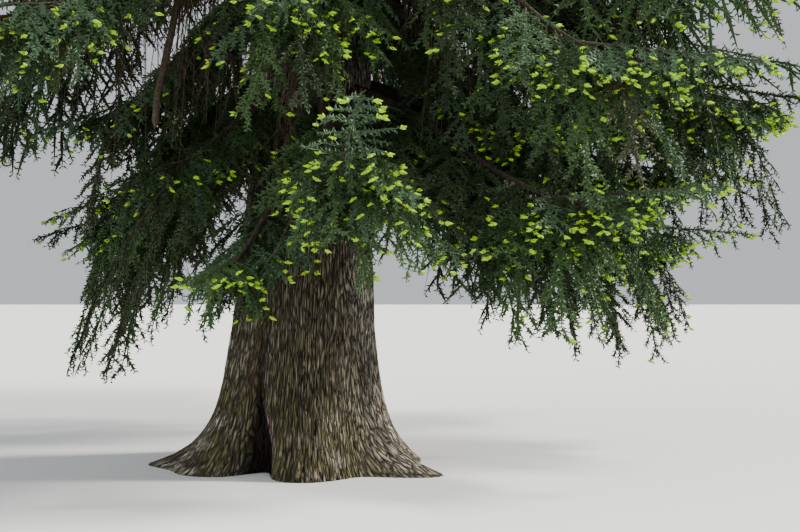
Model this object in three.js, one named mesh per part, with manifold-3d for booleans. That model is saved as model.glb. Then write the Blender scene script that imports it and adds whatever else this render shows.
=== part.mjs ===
// An old park fir: one leaning, fluted trunk from a flat cut at ground level to its leader,
// drooping lower boughs that each carry a fan of needle sprays, and a spiral of spreading fans
// above them up to the top. Millimetres, +Z up, the origin in the middle of the flat cut.
import * as THREE from "three";
import { mergeVertices } from "three/addons/utils/BufferGeometryUtils.js";
import Module from "manifold-3d";

const wasm = await Module();
wasm.setup();

const HEIGHT = 24000; // ground to the tip of the leading shoot
const TOUCH_GAP = 0.4; // between pieces that meet
const DEGREE = Math.PI / 180;
const UP = new THREE.Vector3(0, 0, 1);

// The trunk: a straight taper plus a swelling that fades upwards, leaning towards +X.
const TRUNK = {
  stem: 430,
  swell: 256,
  swellFade: 3755,
  top: 23250, // where the leading shoot takes over
  lean: 600,
  leanFade: 10000,
  sides: 40,
  rings: 20,
  ringBias: 2.35, // rings crowd towards the ground
};

// Root buttresses: direction, how far one runs out at the ground, the height over which it
// fades, and its half width.
const ROOTS = [
  { azimuth: -28, out: 620, fade: 190, spread: 15 },
  { azimuth: 8, out: 330, fade: 330, spread: 26 },
  { azimuth: 52, out: 420, fade: 260, spread: 20 },
  { azimuth: 98, out: 340, fade: 300, spread: 24 },
  { azimuth: 143, out: 430, fade: 240, spread: 18 },
  { azimuth: 182, out: 470, fade: 170, spread: 17 },
  { azimuth: -146, out: 300, fade: 300, spread: 20 },
  { azimuth: -78, out: 190, fade: 420, spread: 30 },
];
const ROOT_FLARE = { out: 60, fade: 420 };

// The deep fold up the front of the trunk, and the hollow at its foot.
const FOLD = { azimuth: -118, depth: 125, fade: 1150, spread: 6.5 };
const HOLLOW = { azimuth: -108, depth: 270, height: 400, spread: 9.5 };
const LOBES = [
  { waves: 3, share: 0.035, turn: 40 },
  { waves: 5, share: 0.02, turn: 10 },
];
const LOBE_FADE = 9000;

// Boughs of the two lowest tiers: direction, height on the trunk, reach and height of the tip,
// the slope they set out with and the slope they end with, half the width of their fan.
const LOW_BOUGHS = [
  { name: "front", azimuth: -78, base: 3050, reach: 2750, tip: 2360, out: -8, end: 27, fan: 920 },
  { name: "front_low", azimuth: -98, base: 2550, reach: 2150, tip: 1600, out: -14, end: -4, fan: 560 },
  { name: "left_front", azimuth: -124, base: 3100, reach: 1550, tip: 2350, out: -8, end: -14, fan: 680 },
  { name: "left", azimuth: 166, base: 3300, reach: 1800, tip: 2250, out: 2, end: -14, fan: 820 },
  { name: "back_left", azimuth: 136, base: 3200, reach: 2900, tip: 2000, out: 0, end: 0, fan: 950 },
  { name: "back", azimuth: 93, base: 3100, reach: 3100, tip: 1850, out: -2, end: 4, fan: 950 },
  { name: "right_back", azimuth: 49, base: 3300, reach: 3200, tip: 1950, out: 0, end: 2, fan: 950 },
  { name: "right", azimuth: 4, base: 3200, reach: 3300, tip: 1950, out: 0, end: 4, fan: 980 },
  { name: "right_front", azimuth: -41, base: 3100, reach: 3200, tip: 2080, out: -2, end: 8, fan: 1000 },
  { name: "high_right", azimuth: -14, base: 4700, reach: 3900, tip: 2900, out: 2, end: -2, fan: 1050 },
  { name: "high_front_right", azimuth: -42, base: 4750, reach: 3500, tip: 2950, out: 2, end: -4, fan: 1000 },
  { name: "high_front", azimuth: -86, base: 4350, reach: 2100, tip: 3400, out: -4, end: -6, fan: 950 },
  { name: "high_front_left", azimuth: -125, base: 4800, reach: 3100, tip: 3200, out: 4, end: -4, fan: 950 },
  { name: "high_left", azimuth: -163, base: 4750, reach: 3400, tip: 3150, out: 4, end: -4, fan: 1050 },
  { name: "high_back_left", azimuth: 160, base: 4950, reach: 3600, tip: 3100, out: 4, end: -2, fan: 1050 },
  { name: "high_back", azimuth: 118, base: 4700, reach: 3800, tip: 3000, out: 4, end: 0, fan: 1050 },
  { name: "high_right_back", azimuth: 76, base: 4850, reach: 3800, tip: 3100, out: 4, end: 0, fan: 1050 },
  { name: "high_right_side", azimuth: 32, base: 4700, reach: 3900, tip: 3000, out: 4, end: 0, fan: 1050 },
];
const LIMB = { root: 78, tip: 40, collar: 34, collarFade: 160, sides: 6, steps: 3, share: 0.34 };

// Higher up, masses grow straight from the trunk, one after another in a spiral.
const SPIRAL = {
  count: 22,
  from: 6250,
  to: 22500,
  crowding: 0.3, // how much closer together the lowest ones are
  turn: 137.5,
  first: 20,
  twigs: 4,
  hangers: 4,
};
// The outline of the upper part: its widest reach, where that is, and how it narrows upwards.
const OUTLINE = { reach: 4250, from: 4600, power: 0.78 };
// How a high bough lies, at the lowest of them and at the top: the rise of its tip for each
// unit of reach, the slopes it starts and ends with, and how far its side twigs droop.
const LOWEST = { rise: -0.5, out: 2, end: -10, sag: 0.6, fan: 0.48 };
const TOPMOST = { rise: 1.25, out: 58, end: 55, sag: 0.25, fan: 0.8 };
const STEM = { root: 62, tip: 3, bladeFrom: 0.95, sides: 4, steps: 3 };

// The corners of each edge of a toothed blade, along it and across it, fewer on a high mass.
const LOW_TEETH = [[0.28, 0.95], [0.4, 0.5], [0.6, 0.78], [0.7, 0.3]];
const HIGH_TEETH = [[0.38, 1], [0.56, 0.45]];
// For each unit of a blade's length: where its middle is, half its width and half its thickness.
// Then its length for each unit of its fan's half width, and the shares of it that are tried.
const BLADE = { middle: 0.47, width: 0.33, thickness: 0.016, length: 1.25, tries: [1, 0.85, 0.7, 0.55] };

// A fan of sprays: side twigs leave the stem at this angle and sag. A low mass has this many
// twigs, each with a spray that hangs, and this many sprays that hang from its stem.
const FAN = { angle: 56, sag: 0.5, twigRoot: 0.6, twigs: 4, hangers: 0, roll: 12, teeth: LOW_TEETH };
// The leading shoot: how wide its sprays stand, how many there are, the turn between them, and
// where its stem ends, from the tree's highest point.
const LEADER = {
  fan: 420,
  twigs: 5,
  turn: 137.5,
  sag: 0,
  teeth: HIGH_TEETH,
  lean: new THREE.Vector3(40, 0, -330),
};
// Sprays hang below their own bough, so each mass's space lies lower than its stem. This and
// the gaps kept between a spray and the next mass, any limb and the trunk shrink upwards.
const HANG = 420;
const SPACE_GAP = 95;
const LIMB_GAP = 45;
const TRUNK_GAP = 90;
const LOWEST_SPRAY = 500; // no spray reaches below this height

const MATERIALS = {
  bark: new THREE.MeshStandardMaterial({ color: 0x6b5d50, roughness: 0.95, metalness: 0 }),
  limb: new THREE.MeshStandardMaterial({ color: 0x5a4c3c, roughness: 0.95, metalness: 0 }),
  needles: new THREE.MeshStandardMaterial({ color: 0x2c4a30, roughness: 0.7, metalness: 0 }),
};

// Seeded random numbers between 0 and 1, the same on every run.
function randomFrom(seed) {
  let state = seed >>> 0;
  return () => {
    state = (state + 0x6d2b79f5) >>> 0;
    let mixed = Math.imul(state ^ (state >>> 15), state | 1);
    mixed = (mixed + Math.imul(mixed ^ (mixed >>> 7), mixed | 61)) ^ mixed;
    return ((mixed ^ (mixed >>> 14)) >>> 0) / 4294967296;
  };
}

const mix = (a, b, share) => a + (b - a) * share;

// Degrees between two directions, from 0 to 180.
function turnBetween(a, b) {
  const turn = (((a - b) % 360) + 540) % 360 - 180;
  return Math.abs(turn);
}

const bell = (x, width) => Math.exp(-((x / width) ** 2));

function trunkCentre(z) {
  return new THREE.Vector3(TRUNK.lean * (1 - Math.exp(-z / TRUNK.leanFade)), 0, z);
}

function trunkRadius(azimuth, z) {
  let radius = TRUNK.stem * (1 - z / HEIGHT) + TRUNK.swell * Math.exp(-z / TRUNK.swellFade);
  let lobes = 0;
  for (const { waves, share, turn } of LOBES) {
    lobes += share * Math.cos(waves * (azimuth - turn) * DEGREE);
  }
  radius *= 1 + lobes * Math.exp(-z / LOBE_FADE);
  radius += ROOT_FLARE.out * Math.exp(-z / ROOT_FLARE.fade);
  for (const { azimuth: towards, out, fade, spread } of ROOTS) {
    radius += out * bell(turnBetween(azimuth, towards), spread) * Math.exp(-z / fade);
  }
  radius -= FOLD.depth * bell(turnBetween(azimuth, FOLD.azimuth), FOLD.spread) * bell(z, FOLD.fade);
  radius -= HOLLOW.depth * bell(turnBetween(azimuth, HOLLOW.azimuth), HOLLOW.spread) * bell(z, HOLLOW.height);
  return radius;
}

function outward(azimuth) {
  return new THREE.Vector3(Math.cos(azimuth * DEGREE), Math.sin(azimuth * DEGREE), 0);
}

// A closed geometry as a solid: only its positions, with shared corners merged.
function solidOf(geometry) {
  geometry.deleteAttribute("normal");
  geometry.deleteAttribute("uv");
  const merged = mergeVertices(geometry, 1e-3);
  return new wasm.Manifold(
    new wasm.Mesh({
      numProp: 3,
      vertProperties: new Float32Array(merged.attributes.position.array),
      triVerts: new Uint32Array(merged.index.array),
    }),
  );
}

function geometryOf(solid) {
  const mesh = solid.getMesh();
  const points = new Float32Array(mesh.numVert * 3);
  for (let i = 0; i < mesh.numVert; i++) {
    points.set(mesh.vertProperties.subarray(i * mesh.numProp, i * mesh.numProp + 3), i * 3);
  }
  const geometry = new THREE.BufferGeometry();
  geometry.setAttribute("position", new THREE.BufferAttribute(points, 3));
  geometry.setIndex(new THREE.BufferAttribute(new Uint32Array(mesh.triVerts), 1));
  const flat = geometry.toNonIndexed();
  flat.computeVertexNormals();
  return flat;
}

// A unit cylinder whose points are put where place(share, angle, onAxis) says.
function shapedCylinder(sides, steps, place) {
  const geometry = new THREE.CylinderGeometry(1, 1, 1, sides, steps);
  const position = geometry.attributes.position;
  const point = new THREE.Vector3();
  for (let i = 0; i < position.count; i++) {
    point.fromBufferAttribute(position, i);
    const onAxis = Math.hypot(point.x, point.z) < 0.5;
    const placed = place(point.y + 0.5, Math.atan2(point.z, point.x), onAxis);
    position.setXYZ(i, placed.x, placed.y, placed.z);
  }
  return geometry;
}

// The trunk's surface pushed out by a little, with its corners crowded round the fold.
function trunkSolid(grown) {
  const crowding = 0.5;
  const geometry = shapedCylinder(TRUNK.sides, TRUNK.rings, (share, angle, onAxis) => {
    const z = TRUNK.top * share ** TRUNK.ringBias;
    const centre = trunkCentre(z);
    if (onAxis) {
      return centre;
    }
    const even = -angle; // a cylinder's x and z, taken as X and Y, run the other way round
    const azimuth = FOLD.azimuth + (even - crowding * Math.sin(even)) / DEGREE;
    return centre.addScaledVector(outward(azimuth), trunkRadius(azimuth, z) + grown);
  });
  return solidOf(geometry);
}

// A tapering limb along part of a curve.
function limbSolid(curve, from, to, radiusAt, sides, steps) {
  const geometry = shapedCylinder(sides, steps, (share, angle, onAxis) => {
    const along = mix(from, to, share);
    const centre = curve.getPoint(along);
    if (onAxis) {
      return centre;
    }
    const tangent = curve.getTangent(along);
    const side = new THREE.Vector3().crossVectors(UP, tangent).normalize();
    const under = new THREE.Vector3().crossVectors(side, tangent);
    const radius = radiusAt(along);
    return centre
      .addScaledVector(side, radius * Math.cos(angle))
      .addScaledVector(under, radius * Math.sin(angle));
  });
  return solidOf(geometry);
}

// A three-sided twig that narrows to a point.
function twigSolid(from, to, radius) {
  const direction = new THREE.Vector3().subVectors(to, from);
  const geometry = new THREE.ConeGeometry(radius, direction.length(), 3, 1);
  geometry.translate(0, direction.length() / 2, 0);
  geometry.applyQuaternion(
    new THREE.Quaternion().setFromUnitVectors(new THREE.Vector3(0, 1, 0), direction.normalize()),
  );
  geometry.translate(from.x, from.y, from.z);
  return solidOf(geometry);
}

// The points of a blade: its outline, its middle above and below.
function bladePoints(root, direction, facing, length, teeth) {
  const across = new THREE.Vector3().crossVectors(direction, facing).normalize();
  const normal = new THREE.Vector3().crossVectors(across, direction).normalize();
  const at = (along, aside, off) =>
    root
      .clone()
      .addScaledVector(direction, along * length)
      .addScaledVector(across, aside * length * BLADE.width)
      .addScaledVector(normal, off * length * BLADE.thickness);
  const left = teeth.map(([along, aside]) => at(along, aside, 0));
  const right = teeth.map(([along, aside]) => at(along, -aside, 0)).reverse();
  return {
    rim: [at(0, 0, 0), ...left, at(1, 0, 0), ...right],
    top: at(BLADE.middle, 0, 1),
    bottom: at(BLADE.middle, 0, -1),
  };
}

// A blade is a sphere of two rings whose equator is the toothed outline.
function bladeSolid(points) {
  const corners = points.rim.length;
  const geometry = new THREE.SphereGeometry(1, corners, 2);
  const position = geometry.attributes.position;
  for (let i = 0; i < position.count; i++) {
    const height = position.getY(i);
    let target = points.rim[i % (corners + 1) % corners];
    if (Math.abs(height) > 0.5) {
      target = height > 0 ? points.top : points.bottom;
    }
    position.setXYZ(i, target.x, target.y, target.z);
  }
  return solidOf(geometry);
}

// The line of a bough, from inside the trunk to its tip. A low bough's reach is measured from
// the middle of the flat cut, and a high one's from the trunk's own axis.
function boughCurve({ azimuth, base, reach, tip, out, end, limb }) {
  const root = trunkCentre(base).addScaledVector(outward(azimuth), trunkRadius(azimuth, base) * 0.5);
  const axis = limb ? new THREE.Vector3() : trunkCentre(base);
  const far = axis.addScaledVector(outward(azimuth), reach).setZ(tip);
  const handle = root.distanceTo(far) * 0.36;
  const slope = (degrees) =>
    outward(azimuth).multiplyScalar(Math.cos(degrees * DEGREE)).setZ(Math.sin(degrees * DEGREE));
  return new THREE.CubicBezierCurve3(
    root,
    root.clone().addScaledVector(slope(out), handle),
    far.clone().addScaledVector(slope(end), -handle),
    far,
  );
}

// One bough of the spiral.
function spiralBough(index, random) {
  const share = index / (SPIRAL.count - 1);
  const base = mix(SPIRAL.from, SPIRAL.to, share * mix(1, share, SPIRAL.crowding));
  const narrowed = ((HEIGHT - base) / (HEIGHT - OUTLINE.from)) ** OUTLINE.power;
  const reach = OUTLINE.reach * narrowed * mix(0.93, 1.03, random());
  const up = (base / HEIGHT) ** 1.5;
  return {
    name: `upper_${String(index + 1).padStart(2, "0")}`,
    azimuth: SPIRAL.first + SPIRAL.turn * index + mix(-8, 8, random()),
    base,
    reach,
    tip: base + mix(LOWEST.rise, TOPMOST.rise, up) * reach,
    out: mix(LOWEST.out, TOPMOST.out, up),
    end: mix(LOWEST.end, TOPMOST.end, up),
    sag: mix(LOWEST.sag, TOPMOST.sag, up),
    fan: mix(LOWEST.fan, TOPMOST.fan, up) * reach,
    twigs: SPIRAL.twigs,
    hangers: SPIRAL.hangers,
    teeth: HIGH_TEETH,
  };
}

// Every bough of the tree with its line, low ones from the table and high ones by rule.
function allBoughs() {
  const random = randomFrom(41);
  const boughs = LOW_BOUGHS.map((bough) => ({ ...FAN, ...bough, limb: true }));
  for (let i = 0; i < SPIRAL.count; i++) {
    boughs.push(spiralBough(i, random));
  }
  for (const bough of boughs) {
    bough.curve = boughCurve(bough);
    bough.start = bough.limb ? LIMB.share : 0;
  }
  const top = trunkCentre(TRUNK.top + TOUCH_GAP);
  const leader = new THREE.LineCurve3(top, trunkCentre(HEIGHT).add(LEADER.lean));
  boughs.push({ ...LEADER, name: "top", azimuth: 0, reach: 0, hangers: 0, start: 0, curve: leader });
  for (const bough of boughs) {
    bough.line = bough.curve.getPoints(12);
    bough.limbLine = bough.limb ? bough.line.slice(0, Math.ceil(12 * LIMB.share) + 1) : null;
  }
  return boughs;
}

function distanceToLine(point, line) {
  const closest = new THREE.Vector3();
  const segment = new THREE.Line3();
  let nearest = Infinity;
  for (let i = 1; i < line.length; i++) {
    segment.set(line[i - 1], line[i]).closestPointToPoint(point, true, closest);
    nearest = Math.min(nearest, closest.distanceTo(point));
  }
  return nearest;
}

// Corner and mid-edge points, close enough together to stand for the whole piece.
function probes(points) {
  const found = [];
  points.forEach((point, i) => {
    const next = points[(i + 1) % points.length];
    found.push(point, point.clone().lerp(next, 0.5));
  });
  return found;
}

// Whether a piece of one mass stays in that mass's own space, off the trunk and every limb.
function hasRoom(points, own, boughs) {
  return probes(points).every((point) => {
    const centre = trunkCentre(Math.max(point.z, 0));
    const azimuth = Math.atan2(point.y - centre.y, point.x - centre.x) / DEGREE;
    const fromAxis = Math.hypot(point.x - centre.x, point.y - centre.y);
    const below = Math.max(1 - point.z / HEIGHT, 0);
    const inTrunk = point.z < TRUNK.top && fromAxis < trunkRadius(azimuth, point.z) + TRUNK_GAP * below;
    if (point.z < LOWEST_SPRAY || inTrunk) {
      return false;
    }
    if (boughs.some(({ limbLine }) => limbLine && distanceToLine(point, limbLine) < LIMB.root + LIMB_GAP)) {
      return false;
    }
    const raised = point.clone().setZ(point.z + HANG * below);
    const nearest = distanceToLine(raised, own.line) + mix(SPACE_GAP / 5, SPACE_GAP, below);
    return boughs.every((bough) => bough === own || distanceToLine(raised, bough.line) > nearest);
  });
}

// How wide the fan is along its stem, as a share of its full width.
const fanShape = (share) => Math.sin(Math.PI * mix(0.2, 0.9, share) ** 0.8);

// The largest shell of a solid: loose scraps are dropped and sealed hollows filled.
const mainBody = (solid) => solid.decompose().sort((a, b) => b.volume() - a.volume())[0];

// The pieces of one mass, each crossing only what carries it.
class Mass {
  constructor(bough, boughs, seed) {
    this.bough = bough;
    this.boughs = boughs;
    this.random = randomFrom(seed);
    const { curve, start, reach } = bough;
    const root = bough.limb ? LIMB.tip : mix(20, STEM.root, reach / OUTLINE.reach);
    this.stemRadius = (along) => mix(root, STEM.tip, (along - start) / (1 - start));
    this.stem = limbSolid(curve, start, 1, this.stemRadius, STEM.sides, STEM.steps);
    this.pieces = [this.stem];
    this.size = bough.fan * BLADE.length;
  }

  between(a, b) {
    return mix(a, b, this.random());
  }

  // A point on the stem's own axis, which is straight between its rings.
  onStem(along) {
    const { curve, start } = this.bough;
    const ring = (i) => curve.getPoint(mix(start, 1, i / STEM.steps));
    const share = ((along - start) / (1 - start)) * STEM.steps;
    const before = Math.min(Math.floor(share), STEM.steps - 1);
    return ring(before).lerp(ring(before + 1), share - before);
  }

  // The largest blade that keeps to the mass's own space and crosses only its carrier.
  addBlade(foot, direction, facing, size, carrier) {
    const along = direction.clone().normalize();
    for (const share of BLADE.tries) {
      const points = bladePoints(foot, along, facing, size * share, this.bough.teeth);
      if (hasRoom(points.rim.slice(1), this.bough, this.boughs)) {
        const blade = bladeSolid(points);
        const others = this.pieces.filter((piece) => piece !== carrier);
        if (others.every((other) => blade.intersect(other).isEmpty())) {
          this.pieces.push(blade);
          return blade;
        }
      }
    }
    return null;
  }

  // A way to hang: on along the line, a little aside and mostly down.
  falling(along, side) {
    const direction = along.clone().multiplyScalar(0.45).addScaledVector(side, this.between(0.2, 0.45));
    direction.z -= this.between(0.75, 1.1);
    return direction;
  }

  // The sideways direction at a place along the stem, turned about it by some degrees.
  sideAt(along, turned) {
    const tangent = this.bough.curve.getTangent(along);
    const side = new THREE.Vector3().crossVectors(UP, tangent).normalize();
    return side.applyAxisAngle(tangent, turned * DEGREE);
  }

  // A side twig, the blade at its end and one that hangs from its middle.
  addTwig(along, share, side) {
    const { curve, fan, sag, limb } = this.bough;
    const root = this.onStem(along);
    const tangent = curve.getTangent(along);
    const angle = mix(FAN.angle, FAN.angle * 0.6, share) * DEGREE;
    const direction = tangent.clone().multiplyScalar(Math.cos(angle)).addScaledVector(side, Math.sin(angle));
    direction.z -= sag * this.between(0.6, 1.3);
    direction.normalize();
    const wide = fan * fanShape(share) * this.between(0.92, 1.08);
    const length = Math.max(wide - this.size * 0.6, wide * 0.25);
    const at = (distance) => root.clone().addScaledVector(direction, distance);
    const size = Math.min(this.size, wide * 0.9);
    const twig = twigSolid(root, at(length + size * 0.1), this.stemRadius(along) * FAN.twigRoot);
    if (this.pieces.some((piece) => piece !== this.stem && !piece.intersect(twig).isEmpty())) {
      return;
    }
    this.pieces.push(twig);
    const facing = tangent.clone().cross(direction).addScaledVector(tangent, this.between(-0.3, 0.3));
    if (!this.addBlade(at(length), direction, facing, size, twig)) {
      this.pieces.pop();
      return;
    }
    if (limb) {
      const hanging = side.clone().addScaledVector(tangent, 0.7);
      this.addBlade(at(length * 0.6), this.falling(tangent, side), hanging, this.size * 0.85, twig);
    }
  }

  solid() {
    const { curve, start, twigs, hangers, limb, turn } = this.bough;
    const tip = Math.max(this.size * 0.7, curve.getLength() * 0.2);
    const tipFoot = this.onStem(STEM.bladeFrom);
    const tipSide = this.sideAt(1, this.between(30, 50));
    this.addBlade(tipFoot, curve.getPoint(1).sub(tipFoot), tipSide.add(UP), tip, this.stem);
    const first = mix(start, 1, limb ? 0.1 : 0.22);
    for (let i = 0; i < twigs; i++) {
      const share = (i + 0.5) / twigs;
      const along = mix(first, 0.93, share);
      const turned = turn ? turn * i : 180 * (i % 2) + this.between(-FAN.roll, FAN.roll);
      this.addTwig(along, share, this.sideAt(along, turned));
    }
    for (let i = 0; i < hangers; i++) {
      const along = mix(first, 0.95, (i + 0.2) / hangers);
      const side = this.sideAt(along, 180 * (i % 2));
      const size = this.size * mix(0.95, 0.7, i / hangers);
      this.addBlade(this.onStem(along), this.falling(curve.getTangent(along), side), side, size, this.stem);
    }
    return mainBody(wasm.Manifold.union(this.pieces));
  }
}

const tree = new THREE.Group();
tree.name = "fir_tree";

function addPiece(name, solid, material) {
  const mesh = new THREE.Mesh(geometryOf(solid), material);
  mesh.name = name;
  tree.add(mesh);
}

const trunk = trunkSolid(0);
const grownTrunk = trunkSolid(TOUCH_GAP);
addPiece("trunk", trunk, MATERIALS.bark);

const boughs = allBoughs();
boughs.forEach((bough, index) => {
  const length = bough.curve.getLength();
  if (bough.limb) {
    const collar = (along) => LIMB.collar * Math.exp((-along * length) / LIMB.collarFade);
    const radiusAt = (along) => mix(LIMB.root, LIMB.tip, along / LIMB.share) + collar(along);
    const limb = limbSolid(bough.curve, 0, LIMB.share, radiusAt, LIMB.sides, LIMB.steps);
    addPiece(`bough_${bough.name}`, limb.subtract(grownTrunk), MATERIALS.limb);
    bough.start += TOUCH_GAP / length;
  }
  const mass = new Mass(bough, boughs, 100 + index).solid();
  addPiece(`foliage_${bough.name}`, mainBody(mass.subtract(grownTrunk)), MATERIALS.needles);
});

export default tree;
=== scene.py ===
import math

import bpy
import numpy as np
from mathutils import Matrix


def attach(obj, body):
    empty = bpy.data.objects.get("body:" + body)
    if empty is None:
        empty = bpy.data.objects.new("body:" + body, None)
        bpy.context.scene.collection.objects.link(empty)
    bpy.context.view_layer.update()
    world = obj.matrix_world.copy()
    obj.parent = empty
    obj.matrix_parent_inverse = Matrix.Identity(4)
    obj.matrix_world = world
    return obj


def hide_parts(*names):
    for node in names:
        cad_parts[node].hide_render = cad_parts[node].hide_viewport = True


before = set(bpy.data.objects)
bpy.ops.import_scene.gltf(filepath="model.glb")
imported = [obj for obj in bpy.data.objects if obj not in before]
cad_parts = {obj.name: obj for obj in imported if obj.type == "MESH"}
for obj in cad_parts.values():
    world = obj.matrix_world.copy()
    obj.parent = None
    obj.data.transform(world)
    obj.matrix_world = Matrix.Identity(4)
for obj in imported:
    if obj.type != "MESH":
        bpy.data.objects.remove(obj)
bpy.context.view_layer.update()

UP = np.array([0.0, 0.0, 1.0])
MOST_TRIANGLES = 190000  # in one piece

# The tree's named sizes, as in its solids.
HEIGHT = 24.0
TRUNK = {"stem": 0.43, "swell": 0.256, "fade": 3.755, "top": 23.25, "lean": 0.6, "lean_fade": 10.0}
ROOTS = [  # direction, run out at the ground, height over which it fades, half width
    (-28, 0.62, 0.19, 15),
    (8, 0.33, 0.33, 26),
    (52, 0.42, 0.26, 20),
    (98, 0.34, 0.30, 24),
    (143, 0.43, 0.24, 18),
    (182, 0.47, 0.17, 17),
    (-146, 0.30, 0.30, 20),
    (-78, 0.19, 0.42, 30),
]
ROOT_FLARE = {"out": 0.06, "fade": 0.42}
FOLD = {"azimuth": -118, "depth": 0.125, "fade": 1.15, "spread": 6.5}
HOLLOW = {"azimuth": -108, "depth": 0.27, "fade": 0.4, "spread": 9.5}
LOBES = [(3, 0.035, 40), (5, 0.02, 10)]  # waves round the trunk, their share of its radius, turn
LOBE_FADE = 9.0

# Low boughs: name, direction, height on the trunk, reach and height of the tip, the slopes they
# set out and end with, half the width of their fan. Then their sprays: how long the hanging ones
# are by the fan, how closely they stand, and by what share those on the right are longer than the
# usual, and those on the left shorter.
LOW_BOUGHS = [
    ("front", -78, 3.05, 2.75, 2.36, -8, 27, 0.92, (0.62, 1.35, 0.3)),
    ("front_low", -98, 2.55, 2.15, 1.6, -14, -4, 0.56, (0.8, 1.35, -0.15)),
    ("left_front", -124, 3.1, 1.55, 2.35, -8, -14, 0.68, (1.65, 1.35, -0.4)),
    ("left", 166, 3.3, 1.8, 2.25, 2, -14, 0.82, (1.65, 1.35, 0)),
    ("back_left", 136, 3.2, 2.9, 2.0, 0, 0, 0.95, (1.05, 1.1, 0)),
    ("back", 93, 3.1, 3.1, 1.85, -2, 4, 0.95, (1.05, 1.1, 0)),
    ("right_back", 49, 3.3, 3.2, 1.95, 0, 2, 0.95, (1.05, 1.1, 0)),
    ("right", 4, 3.2, 3.3, 1.95, 0, 4, 0.98, (1.15, 1.7, 0)),
    ("right_front", -41, 3.1, 3.2, 2.08, -2, 8, 1.0, (1.0, 1.5, 0)),
    ("high_right", -14, 4.7, 3.9, 2.9, 2, -2, 1.05, (0.95, 1.55, 0)),
    ("high_front_right", -42, 4.75, 3.5, 2.95, 2, -4, 1.0, (1.15, 1.3, 0)),
    ("high_front", -86, 4.35, 2.1, 3.4, -4, -6, 0.95, (0.85, 1.05, 0)),
    ("high_front_left", -125, 4.8, 3.1, 3.2, 4, -4, 0.95, (0.6, 1.05, -0.25)),
    ("high_left", -163, 4.75, 3.4, 3.15, 4, -4, 1.05, (0.55, 1.05, 0)),
    ("high_back_left", 160, 4.95, 3.6, 3.1, 4, -2, 1.05, (0.7, 1.05, 0)),
    ("high_back", 118, 4.7, 3.8, 3.0, 4, 0, 1.05, (1.05, 1.05, 0)),
    ("high_right_back", 76, 4.85, 3.8, 3.1, 4, 0, 1.05, (1.05, 1.05, 0)),
    ("high_right_side", 32, 4.7, 3.9, 3.0, 4, 0, 1.05, (1.05, 1.05, 0)),
]
LOW_FILL = [  # boughs between these, which the solids leave out
    ("between_left", -170, 4.0, 1.75, 2.85, 0, -12, 0.66, (1.3, 1.35, 0)),
    ("between_right", -29, 3.95, 2.45, 2.75, 0, 2, 0.74, (1.0, 1.35, 0)),
    ("between_left_low", -176, 3.1, 1.72, 2.0, -4, -10, 0.64, (1.3, 1.35, 0)),
    ("between_right_far", -14, 3.65, 3.2, 2.35, 0, 0, 0.76, (0.95, 1.6, 0)),
    ("between_high_right", -24, 5.3, 3.4, 3.6, 2, -2, 0.95, (1.05, 1.7, 0)),
    ("between_high_right_side", 2, 5.2, 3.8, 3.45, 2, -2, 0.95, (1.05, 1.7, 0)),
]
UPPER_SPRAYS = (1, 1, 0)

# A bough's line starts inside the trunk, at a share of its radius. Its handles are a share of its
# span. The limb on it ends at a share of its length, and is thicker where it leaves the trunk.
LINE = {"start": 0.5, "handle": 0.36}
LIMB = {"root": 0.078, "tip": 0.04, "collar": 0.034, "collar_fade": 0.16, "share": 0.34}
TWIG_END = 0.004  # radius of what runs on from a limb, at the bough's end

# The spiral of boughs in the upper crown, the crown's outline, and how its boughs lie. The first
# bough's direction and how far each strays from its place are in degrees.
GOLDEN_TURN = 137.5
SPIRAL = {
    "seed": 41, "count": 22, "from": 6.25, "to": 22.5, "crowding": 0.3,
    "first": 20, "stray": 8, "reach": (0.93, 1.03), "fan": 1.0,
}
OUTLINE = {"reach": 4.25, "from": 4.6, "power": 0.78}
LIFT_POWER = 1.5  # how late, on the way up, the boughs turn from the lowest's lie to the topmost's
LOWEST = {"rise": -0.5, "out": 2, "end": -10, "sag": 0.6, "fan": 0.48}
TOPMOST = {"rise": 1.25, "out": 58, "end": 55, "sag": 0.25, "fan": 0.8}
STEM = {"root": 0.062, "least": 0.02, "tip": 0.003}
LEADER = {"fan": 0.42, "lean": (0.04, 0.0, -0.33), "radii": (0.013, 0.003), "sprays": 16}

# Boughs between those of the spiral, which the solids leave out.
FILL = {"count": 92, "from": 5.6, "to": 23.1, "first": 77, "stray": 10, "reach": (0.8, 1.0), "fan": 0.66}

# How sprays are dealt out, finest on the low boughs, which are seen from near.
LOW_PLAN = {
    "first": 0.15,  # share of the bough where its side branches start
    "gap": 0.056,  # between side branches
    "fine_gap": 0.046,  # between their branchlets
    "fine": (0.36, 0.075, 0.24),  # a branchlet's share of its branch, the least and the most
    "steps": (4, 2),  # straight bits in a branch and in a branchlet
    "hang": 3,  # how many of five branches hang
    "sag": 0.24,
    "fine_sag": (0.12, 0.45),
    "core": 0.022,  # how wide a shoot's core is
    "needle": (0.037, 0.0152),  # how long and how wide
    "per_metre": 90,  # needles on a metre of shoot
    "tip_share": 1.0,  # how many branchlets end in young shoots
    "bud": (0.046, 2),  # how long a young shoot is, and how many loose needles it has
    "mantle": 34,  # how many short sprays arch over the bough
}
MIDDLE_PLAN = {
    **LOW_PLAN,
    "first": 0.14, "gap": 0.13, "fine_gap": 0.082, "fine": (0.45, 0.1, 0.42), "steps": (4, 1),
    "fine_sag": (0.3, 0.7), "core": 0.034, "needle": (0.056, 0.0195), "per_metre": 42,
    "tip_share": 0.5, "bud": (0.055, 0), "mantle": 16,
}
HIGH_PLAN = {
    **MIDDLE_PLAN,
    "first": 0.12, "gap": 0.19, "fine_gap": 0.13, "fine": (0.5, 0.14, 0.5), "steps": (2, 1),
    "core": 0.07, "needle": (0.115, 0.037), "per_metre": 25, "tip_share": 0.22, "bud": (0.1, 0),
}
NEEDLE_ROWS = (6, 172, 52, 128, -14, 194, 90)  # degrees round a shoot, with its sides at 0 and 180
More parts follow.
